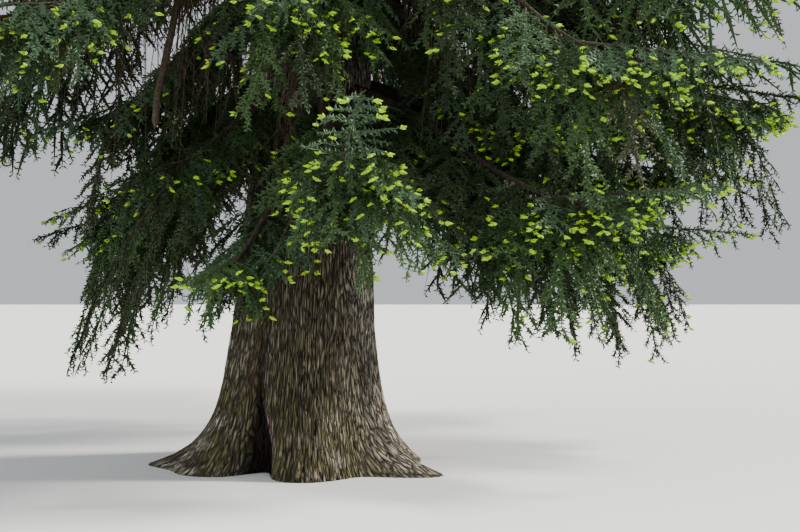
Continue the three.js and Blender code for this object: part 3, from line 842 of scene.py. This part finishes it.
# A network of elongated plates in rows and columns round the trunk: how far a place is from the
# nearest furrow, in centimetres, and a number for the plate that it lies on. The cracks across,
# at the plates' ends, are narrower.
def plates(around, along, count, tall, rng):
    offsets = rng.uniform(0, 1, count)
    across = rng.uniform(0.12, 0.88, (count, PLATE_ROWS))
    upward = rng.uniform(0.1, 0.9, (count, PLATE_ROWS))
    tones = rng.uniform(0, 1, (count, PLATE_ROWS))
    x = around * count
    y = along / tall
    column = np.floor(x).astype(int)
    near = np.full((3, *x.shape), 9.0)
    next_near = near.copy()
    tone = np.zeros(x.shape)
    for step in (-1, 0, 1):
        beside = column + step
        wrapped = beside % count
        row = np.floor(y + offsets[wrapped]).astype(int)
        for rise in (-1, 0, 1):
            kept = (row + rise) % PLATE_ROWS
            dx = x - beside - across[wrapped, kept]
            dy = y + offsets[wrapped] - row - rise - upward[wrapped, kept]
            found = np.stack([np.hypot(dx, dy), dx, dy])
            closer = found[0] < near[0]
            next_near = np.where(closer, near, np.where(found[0] < next_near[0], found, next_near))
            near = np.where(closer, found, near)
            tone = np.where(closer, tones[wrapped, kept], tone)
    gap_x = near[1] - next_near[1]
    gap_y = near[2] - next_near[2]
    gap = np.maximum(np.hypot(gap_x, gap_y), 1e-6)
    to_edge = (next_near[0] ** 2 - near[0] ** 2) / (2 * gap)
    level = gap_x / gap / (GIRTH / count)
    upright = gap_y / gap / (tall * 100)
    is_end = upright**2 / (level**2 + upright**2)
    return to_edge / np.hypot(level, upright) * (1 + 2.5 * is_end), tone


# Heights of the trunk's rings: close together at the ground, where the roots run out.
def low_rings(top):
    heights = [0.0]
    while heights[-1] < top:
        z = heights[-1]
        heights.append(z + 0.01 + 0.034 * (1 - math.exp(-z / 0.4)))
    return np.array(heights)


# Where the fold's foot opens into the hollow: 1 inside it, 0 outside.
def cleft_mask(azimuth, z):
    across = azimuth - CLEFT["edge"]
    wide = 1.5 + CLEFT["spread"] * np.clip(1 - z / CLEFT["height"], 0, 1)
    return smooth(-1.2, 1.2, across) * smooth(-1.2, 2, wide - across) * (1 - smooth(0.85, 1.35, z))


# How high each place stands on its plate, from 0 in a furrow to 1, and the plate's tone. Where the
# roots flare out there are more columns, of shorter plates.
def plate_relief(around, along, count, radius):
    rng = np.random.default_rng(7)
    stem, stem_tone = plates(around, along, count, 0.24, rng)
    root, root_tone = plates(around, along, int(count * 1.25), 0.2, rng)
    flare = smooth(0.72, 0.95, radius)
    return smooth(0.08, 0.85, mix(stem, root, flare)), mix(stem_tone, root_tone, flare)


# How much of each mark there is at each place: the fold's crease, the hollow, the knot, the cleft.
def bark_marks(azimuth, z, radius):
    fold = bell(turn_between(azimuth, FOLD["azimuth"]), FOLD["spread"] * 0.9) * bell(z, 1.7)
    hollow = bell(turn_between(azimuth, HOLLOW["azimuth"]), HOLLOW["spread"] * 0.9) * bell(z, 0.4)
    knot = bell(turn_between(azimuth, KNOT["azimuth"]) * np.radians(radius), KNOT["size"])
    knot = knot * bell(z - KNOT["height"], KNOT["size"])
    return 0.5 * fold * (1 - smooth(1.2, 1.8, z)), hollow, knot, cleft_mask(azimuth, z)


# What the bark's colours go by, from 0 to 1: plates paler on two sides, painted light on the side at
# -26 and paler low down on the side at -160, moss low down and on the shady side, a stain along the
# fold and round the knot, the cleft's lip, and painted shade in the fold's crease, the hollow, the
# cleft and on the trunk under the crown.
def bark_values(azimuth, z, tone, marks):
    crease, hollow, knot, cleft = marks
    # Painted light: the plates on the side at -26 are paler, as if the sun fell on that side.
    painted_light_and_pale = 0.85 * bell(turn_between(azimuth, -26), 30)
    painted_light_and_pale = painted_light_and_pale + 0.9 * bell(turn_between(azimuth, -160), 28) * np.exp(-z / 1.2)
    low = 0.8 * np.exp(-z / 0.75) * (0.7 + 0.3 * np.cos(np.radians(azimuth + 150)))
    shady = 0.75 * np.exp(-z / 4.0) * smooth(-0.2, 0.8, np.cos(np.radians(azimuth + 112)))
    streak = bell(turn_between(azimuth, FOLD["azimuth"] - 5), 3) * smooth(0.5, 0.8, z)
    streak = streak * (1 - smooth(1.3, 1.8, z))
    lip = cleft_mask(azimuth - 9, z) + 0.4 * cleft_mask(azimuth - 5, z)
    lip = lip * (1 - cleft) * smooth(0.05, 0.3, z)
    return [
        ("tone", np.clip(tone * 0.75 + painted_light_and_pale, 0, 1)),
        ("moss", np.clip(low + shady, 0, 1)),
        ("stain", np.clip(0.55 * streak + 0.6 * knot, 0, 1)),
        ("lip", np.clip(0.9 * lip, 0, 1)),
        # painted shade: the fold's crease, the hollow, the cleft, and the trunk from 4 m up, under the
        # crown
        ("dark", np.clip(crease + 0.2 * hollow + cleft + 0.5 * smooth(4.0, 6.5, z), 0, 0.97)),
    ]


# A stretch of trunk with its bark. The grain goes by laid_out, where each place would be if the
# bark were bent round a plain cylinder, as far up it as the place is along the flare.
def trunk_piece(name, heights, bark, material):
    sides = bark["sides"]
    turn = np.arange(sides) / sides
    azimuth, z = np.meshgrid(turn * 360 - 180, heights)
    radius = trunk_radius(azimuth, z)
    rise = np.hypot(np.diff(radius, axis=0), np.diff(z, axis=0))
    along = np.concatenate([np.zeros((1, sides)), np.cumsum(rise, axis=0)])
    angle = np.radians(azimuth)
    waver = 0.004 * np.sin(along * 3 + angle * 6) + 0.001 * np.sin(along * 13 - angle * 13)
    around = np.broadcast_to(turn, z.shape) + waver
    laid_out = outward(around * 360) * 0.7
    laid_out[..., 2] = along
    ridge, tone = plate_relief(around, along, bark["columns"], radius)
    marks = bark_marks(azimuth, z, radius)
    _, hollow, knot, cleft = marks
    relief = bark["depth"] * (ridge * (0.75 + 0.25 * tone) - 1) * (1 - 0.5 * hollow)
    lumps = np.sin(angle * 12 + 3 * np.sin(along * 2.1)) * np.sin(along * 4.3 + angle * 3)
    sunk = CLEFT["depth"] * cleft * (1 - smooth(0.3, 0.8, z))
    surface = radius + relief + 0.006 * lumps + KNOT["out"] * knot - sunk
    points = trunk_centre(z) + outward(azimuth) * surface[..., None]
    points[..., 2] = z
    values = [("laid_out", laid_out), ("ridge", ridge), *bark_values(azimuth, z, tone, marks)]
    faces = ring_faces(np.arange(z.size).reshape(z.shape))
    piece = mesh_object(name, points.reshape(-1, 3), faces, True, values)
    finished(piece, material, ["trunk"])


# Closes the flat cut at ground level.
def trunk_foot(material):
    sides = FOOT["sides"]
    edge = np.arange(sides)
    azimuth = edge * (360 / sides)
    rim = outward(azimuth) * columns(trunk_radius(azimuth, np.zeros(sides)) - FOOT["inset"])
    points = np.concatenate([[[0.0, 0.0, 0.0]], rim])
    faces = np.stack([np.zeros(sides, int), (edge + 1) % sides + 1, edge + 1], -1)
    finished(mesh_object("trunk_foot", points, faces, False), material)


# The bark of the boughs and the stems that carry the needles, out to their tips.
def limb_lines(tubes, boughs, low):
    rng = np.random.default_rng(23)
    steps, sides = (32, 8) if low else (10, 5)  # finer on the low boughs, which are seen from near
    along = np.linspace(0, 1, steps + 1)
    for bough in boughs:
        paths = bough["curve"].at(along)[None]
        if low:
            radii = np.interp(along, [0, LIMB["share"], 1], [LIMB["root"], LIMB["tip"], TWIG_END])
            radii = radii + LIMB["collar"] * np.exp(-along * bough["curve"].length / LIMB["collar_fade"])
        else:
            radii = mix(bough["root"], STEM["tip"], along)
        tubes.add(paths, radii[None], sides, 0.045, rng)


# Dead twigs with a few twiglets each, from these roots and in these directions.
def bare_spray(tubes, roots, directions, lengths, twiglets, rng):
    count = len(roots)
    line = (roots, directions, lengths, rng.uniform(0.2, 0.7, count))
    tubes.add(arcs(line, 4), np.linspace(0.0075, 0.002, 5) * np.ones((count, 1)), 3)
    which = np.repeat(np.arange(count), twiglets)
    total = len(which)
    q = np.tile(np.linspace(0.2, 0.95, twiglets), count) + rng.uniform(-0.06, 0.04, total)
    tangents = arc_tangent(line, which, q)
    turn = unit(np.cross(tangents, rng.normal(0, 1, (total, 3))))
    ahead = unit(tangents * 0.6 + turn - UP * 0.35)
    fine = (arc_at(line, which, q), ahead, rng.uniform(0.08, 0.28, total), rng.uniform(0.2, 0.6, total))
    tubes.add(arcs(fine, 1), np.array([0.0036, 0.0012]) * np.ones((total, 1)), 3)


# The dead twigs on the inner part of the low boughs: short ones, and under the higher of these
# boughs long ones that hang straight down.
def bare_twigs(tubes, boughs, rng):
    for bough in boughs:
        kinds = [SHORT_BARE]
        if bough["name"].startswith("high") and is_near(bough):
            kinds.append(LONG_BARE)
        for kind in kinds:
            bare_kind(tubes, bough, kind, rng)


def bare_kind(tubes, bough, kind, rng):
    count, within, aside, steep, longest, twiglets = kind
    along = rng.uniform(0.1, within, count)
    tangents = bough["curve"].tangent(along)
    sides = unit(np.cross(UP, tangents)) * columns(rng.choice([-1, 1], count))
    lean = tangents * (rng.uniform(-0.1, 0.7, (count, 1)) * aside)
    lean = lean + sides * (rng.uniform(0.1, 0.9, (count, 1)) * aside)
    directions = unit(lean - UP * rng.uniform(*steep, (count, 1)))
    lengths = rng.uniform(0.3, 1, count) * longest * bough["fan"]
    bare_spray(tubes, bough["curve"].at(along), directions, lengths, twiglets, rng)


def hanging_limb(tubes, rng):
    passed = np.linspace(0, 4, 17)
    path = [np.interp(passed, np.arange(5), DEAD_LIMB[key]) for key in ("across", "deep", "up")]
    radii = np.interp(passed, DEAD_LIMB["passed"], DEAD_LIMB["radii"])
    tubes.add(np.stack(path, 1)[None], radii[None], 9, 0.05, rng)


def make_wood(lows, highs):
    rng = np.random.default_rng(31)
    limb = limb_material("limb_bark", *LIMB_COLOURS, 26.0)
    twig = limb_material("dead_twigs", *DEAD_COLOURS, 60.0)
    limbs = Tubes()
    limb_lines(limbs, lows, True)
    limb_lines(limbs, highs, False)
    top = trunk_centre(np.array([TRUNK["top"] - 0.1, HEIGHT])) + np.outer([0, 1], LEADER["lean"])
    leader = mix(top[0], top[1], np.linspace(0, 1, 6)[:, None])
    limbs.add(leader[None], np.linspace(*LEADER["radii"], 6)[None], 6)
    replaced = [f"bough_{bough['name']}" for bough in lows if bough["in_solids"]]
    limbs.piece("bough_bark", limb, replaced)
    bare = Tubes()
    bare_twigs(bare, lows, rng)
    hanging_limb(bare, rng)
    bare.piece("bare_twigs", twig)
    return twig


# The sprays of the leading shoot, which stand up round it.
def leader_branches(rng):
    count = LEADER["sprays"]
    order = np.arange(count)
    share = order / count
    foot = trunk_centre(TRUNK["top"] - 0.25)
    tip = trunk_centre(HEIGHT) + np.array(LEADER["lean"])
    roots = mix(foot, tip, columns(share * 0.92))
    around = outward(GOLDEN_TURN * order)
    directions = unit(around * columns(mix(0.9, 0.5, share)) + UP * columns(mix(0.35, 0.9, share)))
    lengths = LEADER["fan"] * mix(1.0, 0.5, share)
    start = mix(foot, tip, 0.6)[None]
    end = tip - start
    return branch_set(
        np.concatenate([roots, start]),
        np.concatenate([directions, unit(end)]),
        np.append(lengths, np.linalg.norm(end) + 0.25),
        np.append(np.full(count, 0.1), 0.0),
        np.append(share, 1.0),
        np.zeros(count + 1, bool),
    )


def make_needles(lows, highs, twig):
    greens = {kind: needle_material(f"needles_{kind}", colour) for kind, colour in GREENS.items()}
    young = needle_material("young_shoots", YOUNG_GREEN, 0.45)
    low, middle, high = Crown(LOW_PLAN, 101), Crown(MIDDLE_PLAN, 303), Crown(HIGH_PLAN, 202)
    for bough in lows:
        crown = low if is_near(bough) else middle
        crown.grow(bough)
        crown.grow(bough, mantle(bough, crown.plan["mantle"], crown.rng))
        if bough["in_solids"]:
            crown.nodes.append(f"foliage_{bough['name']}")
    for bough in highs:
        crown = middle if bough["curve"].points[0][2] < MIDDLE_BELOW else high
        crown.grow(bough)
    high.grow(None, leader_branches(high.rng))
    high.nodes = [f"foliage_upper_{i + 1:02d}" for i in range(SPIRAL["count"])] + ["foliage_top"]
    for label, crown in (("low", low), ("middle", middle), ("high", high)):
        for kind, green in greens.items():
            corners = crown.shoots[kind].triangles(crown.plan, crown.rng)
            triangle_pieces(f"needles_{label}_{kind}", corners, green, crown.nodes)
        crown.buds.piece(f"young_shoots_{label}", young, slot="needles")
        loose = np.concatenate(crown.bud_needles)
        if len(loose):
            triangle_pieces(f"young_needles_{label}", loose, young)
        crown.twigs.piece(f"twigs_{label}", twig)


def make_trunk():
    bark = bark_material()
    rings = low_rings(LOW_BARK["top"])
    above = np.linspace(rings[-1], TRUNK["top"], HIGH_BARK["rings"])
    trunk_piece("trunk_bark", rings, LOW_BARK, bark)
    trunk_piece("trunk_bark_high", np.concatenate([[rings[-2]], above]), HIGH_BARK, bark)
    trunk_foot(bark)


def make_stage():
    corners = np.array([[-1, -1, 0], [1, -1, 0], [1, 1, 0], [-1, 1, 0]]) * FLOOR["reach"]
    floor = mesh_object("floor", corners, np.arange(4)[None])
    finish = Finish("floor_grey", 0.85)
    floor.data.materials.append(finish.set(Base_Color=(*FLOOR["colour"], 1)))
    world = bpy.data.worlds.new("studio")
    world.use_nodes = True
    background = world.node_tree.nodes["Background"]
    background.inputs["Color"].default_value = (*SKY["colour"], 1)
    background.inputs["Strength"].default_value = SKY["strength"]
    bpy.context.scene.world = world


def make_suns():
    for name, azimuth, elevation, strength, spread, colour in SUNS:
        light = bpy.data.lights.new(name, "SUN")
        light.energy = strength
        light.angle = math.radians(spread)
        light.color = colour
        lamp = bpy.data.objects.new(name, light)
        lamp.rotation_euler = (math.radians(90 - elevation), 0, math.radians(azimuth + 90))
        bpy.context.scene.collection.objects.link(lamp)


def make_camera():
    data = bpy.data.cameras.new("camera")
    data.lens = CAMERA["lens"]
    data.sensor_width = CAMERA["sensor"]
    data.clip_end = CAMERA["reach"]
    camera = bpy.data.objects.new("camera", data)
    camera.location = CAMERA["place"]
    camera.rotation_euler = (math.radians(90) + math.atan(CAMERA["rise"]), 0, 0)
    bpy.context.scene.collection.objects.link(camera)
    bpy.context.scene.camera = camera


make_stage()
make_camera()
make_suns()
low = low_boughs()
high = upper_boughs(np.random.default_rng(5))
make_trunk()
twig_finish = make_wood(low, high)
make_needles(low, high, twig_finish)
